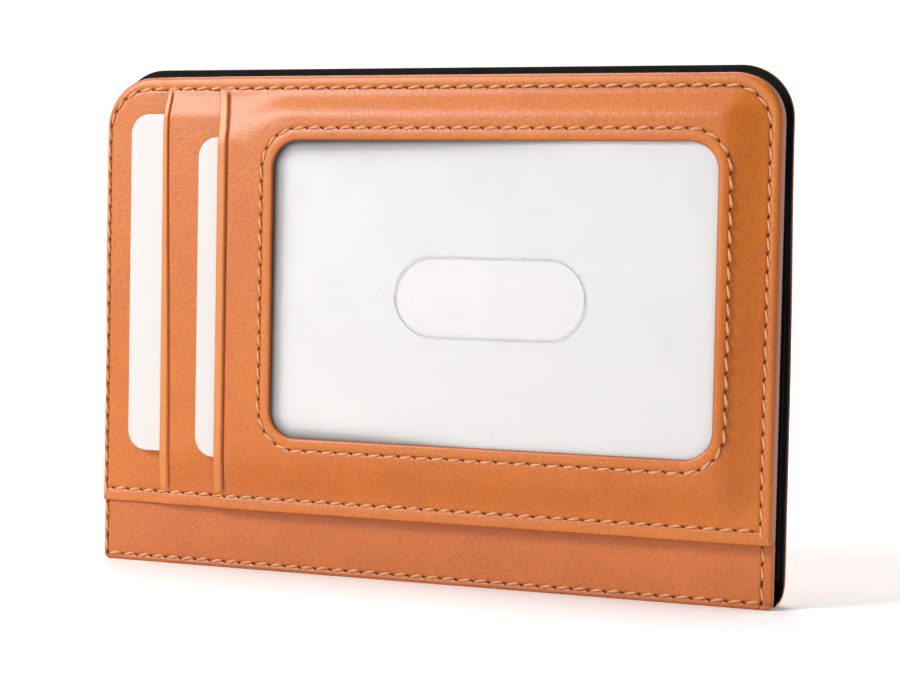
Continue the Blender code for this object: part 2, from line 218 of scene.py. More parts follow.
def loop(left, right, low, high, radii, across=200, upward=130, corner=12):
    """A rounded rectangle as X and Z pairs, from the bottom left corner along the bottom, anticlockwise."""
    r_bl, r_br, r_tr, r_tl = radii
    points = []

    def line(start, end, count):
        for i in range(count):
            t = i / count
            points.append((start[0] + (end[0] - start[0]) * t, start[1] + (end[1] - start[1]) * t))

    def arc(cx, cz, r, turn):
        for i in range(corner):
            angle = turn + math.pi / 2 * i / corner
            points.append((cx + r * math.cos(angle), cz + r * math.sin(angle)))

    line((left + r_bl, low), (right - r_br, low), across)
    arc(right - r_br, low + r_br, r_br, -math.pi / 2)
    line((right, low + r_br), (right, high - r_tr), upward)
    arc(right - r_tr, high - r_tr, r_tr, 0)
    line((right - r_tr, high), (left + r_tl, high), across)
    arc(left + r_tl, high - r_tl, r_tl, math.pi / 2)
    line((left, high - r_tl), (left, low + r_bl), upward)
    arc(left + r_bl, low + r_bl, r_bl, math.pi)
    return points


def outside(x, z, box, r):
    """Distance of a point outside a rounded rectangle, negative inside it."""
    left, right, low, high = box
    px = abs(x - (left + right) / 2) - (right - left) / 2 + r
    pz = abs(z - (low + high) / 2) - (high - low) / 2 + r
    return min(max(px, pz), 0) + math.hypot(max(px, 0), max(pz, 0)) - r


# ---------------------------------------------------------------- materials

class Nodes:
    """A material's node tree, with short calls for its nodes and links."""

    def __init__(self, name):
        self.material = bpy.data.materials.new(name)
        self.material.use_nodes = True
        self.tree = self.material.node_tree
        self.shader = self.tree.nodes["Principled BSDF"]
        coords = self.tree.nodes.new("ShaderNodeTexCoord")
        self.coords = coords.outputs["Object"]

    def add(self, kind, **values):
        node = self.tree.nodes.new(kind)
        for key, value in values.items():
            setattr(node, key, value)
        return node

    def link(self, source, target):
        self.tree.links.new(source, target)

    def feed(self, socket, value):
        if isinstance(value, bpy.types.NodeSocket):
            self.link(value, socket)
        else:
            socket.default_value = value

    def stretched(self, scale):
        node = self.add("ShaderNodeMapping")
        self.link(self.coords, node.inputs["Vector"])
        node.inputs["Scale"].default_value = scale
        return node.outputs["Vector"]

    def noise(self, size, detail=2.0, rough=0.5, coords=None):
        """Noise whose features are about size millimetres wide."""
        node = self.add("ShaderNodeTexNoise")
        self.link(coords or self.coords, node.inputs["Vector"])
        node.inputs["Scale"].default_value = 1.0 / (size * MM)
        node.inputs["Detail"].default_value = detail
        node.inputs["Roughness"].default_value = rough
        return node.outputs["Fac"]

    def cells(self, size):
        node = self.add("ShaderNodeTexVoronoi", feature="F1")
        self.link(self.coords, node.inputs["Vector"])
        node.inputs["Scale"].default_value = 1.0 / (size * MM)
        return node.outputs["Distance"]

    def wave(self, size, direction, coords=None):
        node = self.add("ShaderNodeTexWave", bands_direction=direction)
        self.link(coords or self.coords, node.inputs["Vector"])
        node.inputs["Scale"].default_value = 0.314 / (size * MM)
        node.inputs["Distortion"].default_value = 0.0
        return node.outputs["Fac"]

    def math(self, operation, one, two=0.0, clamped=False):
        node = self.add("ShaderNodeMath", operation=operation, use_clamp=clamped)
        self.feed(node.inputs[0], one)
        self.feed(node.inputs[1], two)
        return node.outputs[0]

    def span(self, value, low, high, to_low=0.0, to_high=1.0):
        node = self.add("ShaderNodeMapRange")
        self.feed(node.inputs["Value"], value)
        for key, number in (("From Min", low), ("From Max", high), ("To Min", to_low), ("To Max", to_high)):
            node.inputs[key].default_value = number
        return node.outputs["Result"]

    def mix(self, share, one, two):
        node = self.add("ShaderNodeMix", data_type="RGBA")
        self.feed(node.inputs["Factor"], share)
        for socket, value in ((node.inputs[6], one), (node.inputs[7], two)):
            self.feed(socket, value if isinstance(value, bpy.types.NodeSocket) else (*value, 1.0))
        return node.outputs[2]

    def tone(self):
        node = self.add("ShaderNodeAttribute", attribute_name="tone")
        return node.outputs["Fac"]

    def raise_by(self, height, distance, strength=1.0, under=None):
        node = self.add("ShaderNodeBump")
        self.link(height, node.inputs["Height"])
        node.inputs["Distance"].default_value = distance * MM
        node.inputs["Strength"].default_value = strength
        if under:
            self.link(under, node.inputs["Normal"])
        return node.outputs["Normal"]

    def finish(self, colour, roughness, normal=None, specular=0.5):
        self.link(colour, self.shader.inputs["Base Color"])
        self.feed(self.shader.inputs["Roughness"], roughness)
        self.shader.inputs["Specular IOR Level"].default_value = specular
        if normal:
            self.link(normal, self.shader.inputs["Normal"])
        return self.material


def leather(name, low, high, shade, worn):
    """Smooth vegetable-tanned leather: fine grain, cloudy colour, painted shade in creases, seams and on
    sides away from the light, and lighter worn edges.
    """
    n = Nodes(name)
    clouds = n.noise(26.0, 3.0, 0.55)
    blotches = n.noise(5.0, 3.0, 0.6)
    grain = n.cells(0.42)
    fine = n.noise(0.22, 3.0, 0.6)
    body = n.math("ADD", n.math("MULTIPLY", clouds, 0.62), n.math("MULTIPLY", blotches, 0.38))
    colour = n.mix(n.span(body, 0.36, 0.64), low, high)
    speck = n.math("ADD", n.math("MULTIPLY", fine, 0.6), n.math("MULTIPLY", grain, 0.7))
    colour = n.mix(n.span(speck, 0.35, 0.95, 0.0, 0.30), colour, shade)
    # Tone below zero paints shade towards the shade colour, above zero lightens worn edges
    tone = n.tone()
    colour = n.mix(n.math("MULTIPLY", tone, -1.0, True), colour, shade)
    colour = n.mix(n.math("MULTIPLY", tone, 1.0, True), colour, worn)
    height = n.math("SUBTRACT", n.math("MULTIPLY", fine, 0.55), n.math("MULTIPLY", grain, 0.45))
    normal = n.raise_by(height, 0.05, 0.8)
    normal = n.raise_by(n.noise(0.9, 2.0, 0.5), 0.07, 0.5, normal)
    return n.finish(colour, n.span(fine, 0.3, 0.7, 0.40, 0.49), normal, 0.6)


def thread_material():
    n = Nodes("waxed_thread")
    fibres = n.noise(0.12, 3.0, 0.6)
    colour = n.mix(n.span(fibres, 0.3, 0.7), (0.72, 0.31, 0.115), (0.92, 0.52, 0.24))
    # Painted shade where the thread dips into its holes and between its plies
    colour = n.mix(n.math("MULTIPLY", n.tone(), -1.0, True), colour, (0.42, 0.13, 0.035))
    return n.finish(colour, n.span(fibres, 0.3, 0.7, 0.55, 0.75), n.raise_by(fibres, 0.02, 0.6), 0.3)


# A needle hole's mark: its dark colour is painted shade inside the hole
def hole_material():
    n = Nodes("needle_hole")
    colour = n.mix(n.span(n.noise(0.2), 0.3, 0.7), (0.09, 0.018, 0.003), (0.19, 0.045, 0.009))
    return n.finish(colour, 0.85, None, 0.15)


def lining_material():
    """Black lining cloth with a fine plain weave."""
    n = Nodes("black_lining_weave")
    across, upward = n.wave(0.34, "X"), n.wave(0.34, "Z")
    weave = n.math("MULTIPLY", across, upward)
    dust = n.noise(3.0, 4.0, 0.6)
    colour = n.mix(n.span(weave, 0.0, 1.0), (0.0022, 0.0022, 0.0026), (0.0095, 0.0092, 0.0096))
    colour = n.mix(n.span(dust, 0.55, 0.8, 0.0, 0.3), colour, (0.018, 0.017, 0.017))
    return n.finish(colour, n.span(dust, 0.3, 0.7, 0.72, 0.9), n.raise_by(weave, 0.05, 0.5), 0.18)


def board_material():
    n = Nodes("grey_board")
    fibres = n.noise(0.5, 4.0, 0.7, n.stretched((0.25, 1.0, 1.0)))
    colour = n.mix(n.span(fibres, 0.3, 0.7), (0.33, 0.27, 0.21), (0.52, 0.44, 0.35))
    return n.finish(colour, 0.9, n.raise_by(fibres, 0.06, 0.5), 0.1)


def card_material():
    """A blank card: near white, with tiny grey flecks, faint marks, and painted shade, darker and warmer, at
    the end that shows.
    """
    n = Nodes("blank_card")
    flecks = n.span(n.noise(0.55, 2.0, 0.6), 0.70, 0.76)
    smudge = n.noise(11.0, 4.0, 0.6)
    colour = n.mix(n.span(smudge, 0.35, 0.7), (0.838, 0.826, 0.816), (0.80, 0.788, 0.778))
    colour = n.mix(n.math("MULTIPLY", flecks, 0.55), colour, (0.36, 0.37, 0.39))
    # Painted shade: darker and warmer left of the panels, at the end that shows
    place = n.add("ShaderNodeSeparateXYZ")
    n.link(n.coords, place.inputs[0])
    colour = n.mix(n.span(place.outputs["X"], -0.034, -0.025), (0.77, 0.74, 0.715), colour)
    normal = n.raise_by(n.noise(0.9, 3.0, 0.6), 0.015, 0.35)
    return n.finish(colour, n.span(smudge, 0.3, 0.7, 0.38, 0.5), normal, 0.4)


def film_material():
    """Clear soft film: nearly invisible, with a painted shadow of the window's edge along it, most at the
    left.
    """
    n = Nodes("clear_film_sheet")
    ripple = n.noise(9.0, 3.0, 0.5)
    place = n.add("ShaderNodeSeparateXYZ")
    n.link(n.coords, place.inputs[0])
    left, right, low, high = (v * MM for v in WINDOW)
    half_x, half_z, r = (right - left) / 2, (high - low) / 2, WINDOW_R * MM
    from_x = n.math("SUBTRACT", place.outputs["X"], (left + right) / 2)
    from_z = n.math("SUBTRACT", place.outputs["Z"], (low + high) / 2)
    px = n.math("SUBTRACT", n.math("ABSOLUTE", from_x), half_x - r)
    pz = n.math("SUBTRACT", n.math("ABSOLUTE", from_z), half_z - r)
    corner_x, corner_z = n.math("MAXIMUM", px, 0.0), n.math("MAXIMUM", pz, 0.0)
    squares = n.math("ADD", n.math("MULTIPLY", corner_x, corner_x), n.math("MULTIPLY", corner_z, corner_z))
    inner = n.math("MINIMUM", n.math("MAXIMUM", px, pz), 0.0)
    out = n.math("SUBTRACT", n.math("ADD", n.math("SQRT", squares), inner), r)
    # Painted shadow of the window's edge: darker and less clear near it, strongest at the left, faint at the
    # right and bottom
    fade = n.math("POWER", 2.718, n.math("DIVIDE", out, 0.85 * MM))
    lit = n.math("SUBTRACT", n.math("DIVIDE", from_x, half_x), n.math("DIVIDE", from_z, 4 * half_z))
    shade = n.math("MULTIPLY", fade, n.span(lit, -1.2, 0.2, 0.75, 0.03), True)
    colour = n.mix(n.span(ripple, 0.3, 0.7), (0.93, 0.94, 0.95), (0.99, 0.99, 0.99))
    colour = n.mix(n.span(shade, 0.0, 0.12), colour, (0.05, 0.042, 0.04))
    n.link(n.span(shade, 0.0, 1.0, 0.08, 0.62), n.shader.inputs["Alpha"])
    return n.finish(colour, n.span(ripple, 0.3, 0.7, 0.10, 0.2), n.raise_by(ripple, 0.10, 0.3), 0.5)


def slot_edge_material():
    n = Nodes("film_cut_edge")
    worn = n.noise(1.2)
    colour = n.mix(n.span(worn, 0.3, 0.7), (0.56, 0.57, 0.59), (0.78, 0.79, 0.81))
    n.shader.inputs["Alpha"].default_value = 0.5
    return n.finish(colour, 0.35, None, 0.5)


def floor_material():
    """Pale floor: darker far in front, where it would only pale the leather, and glowing far behind."""
    n = Nodes("studio_floor")
    grain = n.noise(60.0, 4.0, 0.5)
    pale = n.mix(n.span(grain, 0.3, 0.7), (0.90, 0.90, 0.90), (0.93, 0.93, 0.93))
    n.shader.inputs["Emission Color"].default_value = (1.0, 1.0, 1.0, 1.0)
    place = n.add("ShaderNodeSeparateXYZ")
    n.link(n.coords, place.inputs[0])
    colour = n.mix(n.span(place.outputs["Y"], -0.30, -0.08), (0.50, 0.50, 0.50), pale)
    n.link(n.span(place.outputs["Y"], 0.05, 0.40, 0.0, 0.42), n.shader.inputs["Emission Strength"])
    return n.finish(colour, 0.95, None, 0.0)


TAN = leather(
    "tan_grain",
    low=(0.645, 0.146, 0.001),
    high=(0.735, 0.182, 0.003),
    shade=(0.22, 0.030, 0.001),
    worn=(0.88, 0.38, 0.10),
)
STRIP = leather(
    "strip_grain",
    low=(0.625, 0.150, 0.015),
    high=(0.715, 0.184, 0.027),
    shade=(0.22, 0.032, 0.003),
    worn=(0.86, 0.37, 0.12),
)
THREAD = thread_material()
HOLE = hole_material()
LINING = lining_material()
BOARD = board_material()
CARD = card_material()
FILM = film_material()
SLOT_EDGE = slot_edge_material()


# ---------------------------------------------------------------- front leaf

def low_share(z):
    return ease((z - RAISED_LOW + LOW_RAMP) / LOW_RAMP)


def lean(z, ends):
    """Shift in X of a mouth at a height, from its shifts at the bottom and top seams."""
    return ends[0] * (1 - low_share(z)) + ends[1] * (1 - ease((TOP_END - z) / SEAM_TURN))


def level(x, z):
    """Depth of the sewn surface along the top and bottom seams, where the panels end one after another."""
    middle = ease((x - MOUTH_MIDDLE - lean(z, MIDDLE_LEAN)) / 5.0 + 0.5)
    front = ease((x - MOUTH_WINDOW - lean(z, WINDOW_LEAN)) / 5.0 + 0.5)
    return BASE_FACE + (MIDDLE_FACE - BASE_FACE) * middle + (WINDOW_FACE - MIDDLE_FACE) * front


def inside_seam(x, z):
    """How far a point lies inside the seam round the block."""
    side, r = (SEAM_RIGHT - x, SEAM_R) if x > 0 else (x - SEAM_LEFT, SEAM_LEFT_R)
    px, pz = r - side, z - SEAM_TOP + r
    if px > 0 and pz > 0:
        return r - math.hypot(px, pz)
    return min(side, SEAM_TOP - z, z - SEAM_LOW)


def seam_dip(inside):
    """How deep the leather is drawn in at a seam, by the distance inside it."""
    if inside < 0:
        return SEAM_DEPTH - 0.8 * inside
    return SEAM_DEPTH * (1 - ease(inside / 0.5))


# Painted shade along a seam, where the leather is drawn in
def seam_shade(inside):
    return -0.5 * bump(inside, 0.22)


def raised_share(x, z, mouth_ramp=TOP_RAMP):
    """How far a panel stands out over its card: it comes down at the right, the top and the bottom."""
    ramp = TOP_RAMP + (mouth_ramp - TOP_RAMP) * (1 - ease((x - MOUTH_WINDOW) / 12.0))
    right = max((x - RAISED_RIGHT) / RIGHT_RAMP, 0)
    down = math.hypot(right, max(1 - (TOP_END - z) / ramp, 0), max((RAISED_LOW - z) / LOW_RAMP, 0))
    straight = 0.6 * (right / down) ** 2 if down else 0.0
    return ease(1 - down) * (1 - straight) + clamp(1 - down) * straight


def mouth_bead(t, fade, crease):
    """Depth and tone of a turned edge, by the distance from the mouth: a lighter worn bead, with painted
    shade at the edge and in the crease beside it.
    """
    edge = 0.3 - math.sqrt(max(0.09 - max(0.3 - t, 0) ** 2, 0)) if t < 0.3 else 0.0
    crown = -0.13 * ease((t + 0.15) / 0.5) * ease((1.72 - t) / 0.4)
    groove = 0.20 * crease * bump(t - 1.74, 0.17)
    # Lighter worn bead; painted shade in the crease and at the mouth's edge
    tone = 0.42 * bump(t - 0.75, 0.7) - 1.15 * crease * bump(t - 1.76, 0.17) - 0.5 * bump(t, 0.1)
    return edge + (crown + groove) * fade, tone * fade


def near_mouth(t, z, mouth, ends, narrow=1.0):
    """X of a point of a panel, by its distance from the mouth on the flat pattern."""
    wide = narrow + (1 - narrow) * ease((74.0 - z) / 56.0)
    wide += (1 - wide) * ease((t - 2.0) / 7.0)
    return mouth + t * wide + lean(z, ends) * (1 - ease(t / 9.0))


def panel_depth(x, z, t, sewn, raised, crease, mouth_ramp=TOP_RAMP):
    """Depth and tone of a raised panel's face, at a distance from its mouth."""
    inside = inside_seam(x, z)
    fade = ease(min(SEAM_TOP - z, z - SEAM_LOW) / 1.2)
    bead, tone = mouth_bead(t, fade, crease)
    depth = sewn + (raised - sewn) * raised_share(x, z, mouth_ramp) + seam_dip(inside) + bead
    return depth, tone + seam_shade(inside)


def build_rim():
    """The rolled border of the block: one leather edge round it, with a turned lower edge over the strip."""
    outer = loop(-LEAF_X, LEAF_X, BLOCK_BOTTOM, LEAF_TOP, (0.3, 0.3, LEAF_R, LEFT_R))
    inner = loop(SEAM_LEFT, SEAM_RIGHT, SEAM_LOW, SEAM_TOP, (0.15, 0.15, SEAM_R, SEAM_LEFT_R))
    sheet = Sheet()
    for (xo, zo), (xi, zi) in zip(outer, inner):
        width = math.hypot(xi - xo, zi - zo)
        ux, uz = (xi - xo) / width, (zi - zo) / width
        lower = ease((BLOCK_BOTTOM + 0.32 - zo) / 0.3)
        face = level(xo, zo)
        back = WALL_BACK + (-0.02 - WALL_BACK) * lower
        roll = min(0.8, 0.75 * width)
        r = roll + (0.26 - roll) * lower
        flat = width - r
        near = min(flat / 0.6, 1.0)
        # Painted shade on the walls at the sides, darker on the right side, away from the light, and on the
        # roll of the lower edge over the strip
        side = (-0.55 - 0.4 * max(-ux, 0)) * (1 - lower)
        section = [(0.35, back, -0.6), (0.06, back, -0.6), (0.0, back - 0.08, side - 0.1)]
        section.append((0.0, max(face + r, back - 0.9) if lower < 0.5 else face + r, side))
        for i in range(1, 7):
            angle = math.pi / 2 * i / 6
            shade = (side - 0.4 * lower) * (1 - i / 6) ** 1.5
            section.append((r - r * math.cos(angle), face + r - r * math.sin(angle), shade + 0.10 * i / 6))
        # Past the roll the face is a little lighter, with painted shade in the seam and underneath
        section += [
            (r + flat * 0.3, face - 0.05 * near, 0.14),
            (width - 0.42 * near, face - 0.01, 0.04),
            (width - 0.18 * near, face + 0.05, -0.12),
            (width, face + SEAM_DEPTH, -0.5),
            (width + 0.3, face + 0.36, UNDERSIDE_SHADE),
            (width + 0.3, face + 0.42, UNDERSIDE_SHADE),
            (0.5, back - 0.02 if lower < 0.5 else face + 0.42, UNDERSIDE_SHADE),
        ]
        sheet.row([(world(xo + ux * s, d, zo + uz * s), tone) for s, d, tone in section])
    sheet.join_all(True, True)
    return sheet.make("block_border", TAN, "tan_leather", True)


def flat_loops(rings, front, sheet):
    """Rows for nested loops of one panel."""
    for points in rings:
        sheet.row([front(x, z) for x, z in points])


def build_base_panel():
    """The lowest panel, seen left of the first mouth."""
    sheet = Sheet()
    outer = (SEAM_LEFT - UNDER_RIM, SEAM_RIGHT + UNDER_RIM, SEAM_LOW - UNDER_RIM, SEAM_TOP + UNDER_RIM)
    rings = []
    for inset in (0.0, 0.25, 0.45, 0.55, 0.7, 0.85, 1.0, 1.3):
        box = (v + s * inset for v, s in zip(outer, (1, -1, 1, -1)))
        r = SEAM_R + UNDER_RIM - inset
        rings.append(loop(*box, (0.3, 0.3, r, r + SEAM_LEFT_R - SEAM_R), 60, 40, 10))

    def face(x, z):
        inside = inside_seam(x, z)
        return world(x, BASE_FACE + seam_dip(inside), z), seam_shade(inside)

    sheet.row([(world(x, -0.04, z), UNDERSIDE_SHADE) for x, z in rings[0]])
    flat_loops(rings, face, sheet)
    sheet.join_all(True, False)
    sheet.cap(reversed(sheet.rows[0]))
    sheet.cap(sheet.rows[-1])
    return sheet.make("base_panel", TAN, "tan_leather")


def steps(start, end, count):
    return [start + (end - start) * i / count for i in range(count)]


# Distances from a mouth at which a turned edge and the crease beside it need points
BEAD_PLACES = [0.0, 0.02, 0.07, 0.15, 0.24, 0.36, 0.6, 0.9, 1.15, 1.35]
BEAD_PLACES += [1.48, 1.58, 1.66, 1.74, 1.82, 1.9, 2.0, 2.15, 2.4]


def build_middle_panel():
    """The middle panel, with a soft crease beside its turned edge."""
    raised_right, right = RAISED_RIGHT - MOUTH_MIDDLE, 51.2 - MOUTH_MIDDLE
    places = BEAD_PLACES + steps(3.0, 14.0, 14) + steps(14.0, raised_right, 12)
    places += steps(raised_right, right, 5) + [right]
    low, high, ramp_start = SEAM_LOW - 0.3, SEAM_TOP + 0.3, TOP_END - TOP_RAMP
    zs = steps(low, low + 1.2, 10) + steps(low + 1.2, RAISED_LOW, 14) + steps(RAISED_LOW, ramp_start, 60)
    zs += steps(ramp_start, high - 1.0, 12) + steps(high - 1.0, high, 8) + [high]
    sheet = Sheet()
    for z in zs:
        entries = []
        xs = [near_mouth(t, z, MOUTH_MIDDLE, MIDDLE_LEAN, 0.58) for t in places]
        for x, t in zip(xs, places):
            depth, tone = panel_depth(x, z, t, MIDDLE_FACE, MIDDLE_RAISED, 0.75)
            entries.append((world(x, depth, z), tone))
        for x in reversed(xs):
            depth = MIDDLE_FACE + (MIDDLE_RAISED - MIDDLE_FACE) * raised_share(x, z) + 0.33
            entries.append((world(x, depth, z), UNDERSIDE_SHADE))
        sheet.row(entries)
    sheet.join_all(True, False)
    sheet.cap(reversed(sheet.rows[0]))
    sheet.cap(sheet.rows[-1])
    return sheet.make("middle_panel", TAN, "tan_leather")


def build_window_panel():
    """The front panel, from its outer edges in to the rolled edge of its window."""
    outer = (MOUTH_WINDOW, SEAM_RIGHT + UNDER_RIM, SEAM_LOW - UNDER_RIM, SEAM_TOP + UNDER_RIM)
    places = []
    for inset in BEAD_PLACES + [2.8, 3.3, 4.0]:
        left, right, low, high = outer
        r = 0.2 + inset * 0.4
        box = (left + inset, right - inset, low + inset, high - inset)
        places.append((box, (r, r, max(SEAM_R + UNDER_RIM - inset * 0.55, r), r)))
    last_box, last_radii = places[-1]
    ring_box = tuple(v + s * 2.7 for v, s in zip(WINDOW, (-1, 1, -1, 1)))
    for t in (0.25, 0.5, 0.75):
        box = tuple(a + (b - a) * t for a, b in zip(last_box, ring_box))
        places.append((box, tuple(a + (WINDOW_R + 2.7 - a) * t for a in last_radii)))
    window_rings = [2.7, 2.45, 2.25, 2.1, 2.0, 1.9, 1.8, 1.7, 1.55, 1.35, 1.1, 0.85, 0.62]
    window_rings += [0.45, 0.36, 0.26, 0.17, 0.10, 0.05, 0.015, 0.0]
    for out in window_rings:
        box = tuple(v + s * out for v, s in zip(WINDOW, (-1, 1, -1, 1)))
        places.append((box, (WINDOW_R + out,) * 4))
    rings = [loop(*box, radii) for box, radii in places]

    def smooth_depth(x, z):
        return WINDOW_FACE + (WINDOW_RAISED - WINDOW_FACE) * raised_share(x, z, MOUTH_RAMP)

    def place(x, z):
        return near_mouth(x - MOUTH_WINDOW, z, MOUTH_WINDOW, WINDOW_LEAN)

    def face(flat_x, z):
        x = place(flat_x, z)
        depth, tone = panel_depth(x, z, flat_x - MOUTH_WINDOW, WINDOW_FACE, WINDOW_RAISED, 1.0, MOUTH_RAMP)
        out = outside(x, z, WINDOW, WINDOW_R)
        depth += 0.11 * bump(out - WINDOW_SEAM, 0.24) - 0.05 * bump(out - 0.95, 0.5)
        # Painted shade along the window seam; a little lighter on the lip inside it
        tone += -0.5 * bump(out - WINDOW_SEAM, 0.2) + 0.10 * bump(out - 1.0, 0.5)
        if out < 0.42:
            reach = max(0.42 - out, 0)
            depth += 0.42 - math.sqrt(max(0.1764 - reach * reach, 0))
            # Painted shade down the turned edge into the window
            tone -= 0.85 * (reach / 0.42) ** 2
        return world(x, depth, z), tone

    sheet = Sheet()
    flat_loops(rings, face, sheet)
    for ring in reversed(rings):
        sheet.row([(world(place(x, z), smooth_depth(place(x, z), z) + 0.41, z), INSIDE_SHADE) for x, z in ring])
    sheet.join_all(True, True)
    return sheet.make("window_frame_panel", TAN, "tan_leather")


def strip_profile():
    """Depth, height and outward direction along the front skin, from the middle of the spine to the top."""
    r = 0.4
    points = [(d, 0.0, 0.0, -1.0) for d in (SPINE_MIDDLE, 2.6, 2.1, 1.6, 1.2, 0.8, 0.6)]
    for i in range(7):
        angle = math.pi / 2 * i / 6
        points.append((r - r * math.sin(angle), r - r * math.cos(angle), -math.sin(angle), -math.cos(angle)))
    heights = [0.5, 0.6, 0.7, 0.8, 0.9, 1.0, 1.1, 1.2, 1.35, 1.6, 1.9, 2.2]
    heights += steps(2.5, 5.5, 12) + steps(5.5, 9.2, 8) + [9.2, 9.4, 9.55, 9.65, 9.75, 10.2, 12.0]
    turn = LEAF_TOP - LEAF_R
    heights += steps(16.0, turn, 12) + [turn + LEAF_R * math.sin(math.pi / 2 * i / 12) for i in range(13)]
    points += [(0.0, z, -1.0, 0.0) for z in heights]
    return points


def front_half(z, r):
    """Half the front leaf's width at a height, on the side whose upper corner has radius r."""
    if z < 0.9:
        return LEAF_X - 0.9 + math.sqrt(max(0.81 - (0.9 - z) ** 2, 0))
    rise = max(z - LEAF_TOP + r, 0)
    return LEAF_X - r + math.sqrt(max(r**2 - rise**2, 0))


def strip_side(seam):
    """Inset, sink and tone across a side edge of the strip, with its seam at an inset."""
    r = 0.5
    # Painted shade on the side wall and its roll, and along the seam
    side = [(0.35, WALL_BACK - 0.02, UNDERSIDE_SHADE), (0.05, WALL_BACK - 0.02, -0.6), (0.0, WALL_BACK - 0.1, -0.5)]
    for i in range(7):
        angle = math.pi / 2 * i / 6
        side.append((r - r * math.cos(angle), r - r * math.sin(angle), -0.4 * (1 - i / 6) ** 1.5))
    for i in range(1, 21):
        s = r + 2.5 * i / 20
        sunk = SEAM_DEPTH * bump(s - seam, 0.24) - 0.02 * bump(s - seam + 0.5, 0.25)
        side.append((s, sunk, -0.5 * bump(s - seam, 0.2)))
    return side


def build_front_skin():
    """One skin of leather: half the spine, the strip under the block, and the leaf behind the panels."""
    sides = (strip_side(SEAM_LEFT + LEAF_X), strip_side(LEAF_X - SEAM_RIGHT))
    middle = steps(-51.9, 51.9, 90) + [51.9]
    sheet = Sheet()
    for depth, z, nd, nz in strip_profile():
        behind = 0.15 if z > BLOCK_BOTTOM + 0.05 else 0.0
        left, right = front_half(z, LEFT_R) - behind, front_half(z, LEAF_R) - behind
        flat = bump(z - FOOT_SEAM, 0.22) if nd == -1.0 and z > 0.3 else 0.0
        # Painted shadow on the strip just under the block's lower edge, and painted shade along the foot seam
        under = -0.45 * bump(z - BLOCK_BOTTOM + 0.05, 0.25) - 0.5 * flat
        entries = [(-left + inset, sunk, tone) for inset, sunk, tone in sides[0]]
        entries += [(x * (left if x < 0 else right) / LEAF_X, SEAM_DEPTH * flat, 0.0) for x in middle]
        entries += [(right - inset, sunk, tone) for inset, sunk, tone in reversed(sides[1])]
        front = []
        for x, sunk, tone in entries:
            sunk = sunk if z <= BLOCK_BOTTOM + 0.3 else max(sunk, 0.03)
            front.append((world(x, depth - nd * sunk, z - nz * sunk), tone + under))
        inner = []
        for x, sunk, tone in reversed(entries):
            deep = COVER if sunk < COVER else sunk + 0.001
            x_in = clamp(x, 0.36 - left, right - 0.36)
            inner.append((world(x_in, depth - nd * deep, z - nz * deep), INSIDE_SHADE))
        sheet.row(front + inner)
    sheet.join_all(True, False)
    sheet.cap(reversed(sheet.rows[0]))
    sheet.cap(sheet.rows[-1])
    return sheet.make("front_skin", STRIP, "strip_leather")


def back_profile_point(s):
    """Depth, height and outward direction under the back leaf, from the spine's middle, 0, to the face, 1."""
    flat = BACK_FACE - FOOT_DEPTH - SPINE_MIDDLE
    if s < 0.12:
        return SPINE_MIDDLE + flat * s / 0.12, 0.0, 0.0, -1.0
    angle = math.pi / 2 * (s - 0.12) / 0.88
    depth = BACK_FACE - FOOT_DEPTH + FOOT_DEPTH * math.sin(angle)
    z = FOOT_HEIGHT - FOOT_HEIGHT * math.cos(angle)
    nd, nz = math.sin(angle) / FOOT_DEPTH, -math.cos(angle) / FOOT_HEIGHT
    size = math.hypot(nd, nz)
    return depth, z, nd / size, nz / size


def back_half_width(z):
    if z >= FOOT_CORNER:
        return BACK_X - BACK_TAPER * ease((z - 30.0) / 40.0)
    return BACK_X - SIDE_MARGIN + SIDE_MARGIN * math.sqrt(max(1 - ((FOOT_CORNER - z) / FOOT_CORNER) ** 2, 0))


BACK_SEAM = (-BACK_X + BACK_SEAM_INSET, BACK_X - BACK_SEAM_INSET, BACK_SEAM_LOW, BACK_TOP - BACK_SEAM_INSET)
BACK_SEAM_R = BACK_R - BACK_SEAM_INSET


def back_row(inset, sunk, tone):
    """Points and tones round the back leaf, at an inset from its outline and sunk below its face."""
    entries = []

    def place(x, z):
        away = abs(outside(x, z, BACK_SEAM, BACK_SEAM_R))
        depth = BACK_FACE - sunk - SEAM_DEPTH * bump(away, 0.26)
        # Painted shade along the seam
        entries.append((world(x, depth, z), tone - 0.5 * bump(away, 0.2)))

    def below(side, shares):
        for s in shares:
            depth, z, nd, nz = back_profile_point(s)
            thick = min(sunk, 0.62 + 1.3 * s * s) if sunk > 0.7 else sunk
            x = side * max(back_half_width(z) - inset, 0.02)
            entries.append((world(x, depth - nd * thick, z - nz * thick), tone))

    under = [i / 26 for i in range(26)]
    corner = max(BACK_R - inset, 0.01)
    top = BACK_TOP - inset
    reach = max(BACK_X - BACK_TAPER - inset - corner, 0.01)
    rows = [3.7, 4.1, 4.5, 4.75, 4.9, 5.05, 5.2, 5.35, 5.5, 5.65, 5.9, 6.4, 7.2, 8.5]
    rows += steps(10.0, top - corner, 23)
    below(-1, under)
    for z in rows:
        place(-max(back_half_width(z) - inset, 0.02), z)
    for i in range(17):
        angle = math.pi - math.pi / 2 * i / 16
        place(-reach + corner * math.cos(angle), top - corner + corner * math.sin(angle))
    for i in range(1, TOP_POINTS + 1):
        place(-reach + 2 * reach * i / (TOP_POINTS + 1), top)
    for i in range(17):
        angle = math.pi / 2 - math.pi / 2 * i / 16
        place(reach + corner * math.cos(angle), top - corner + corner * math.sin(angle))
    for z in reversed(rows):
        place(max(back_half_width(z) - inset, 0.02), z)
    below(1, reversed(under))
    return entries


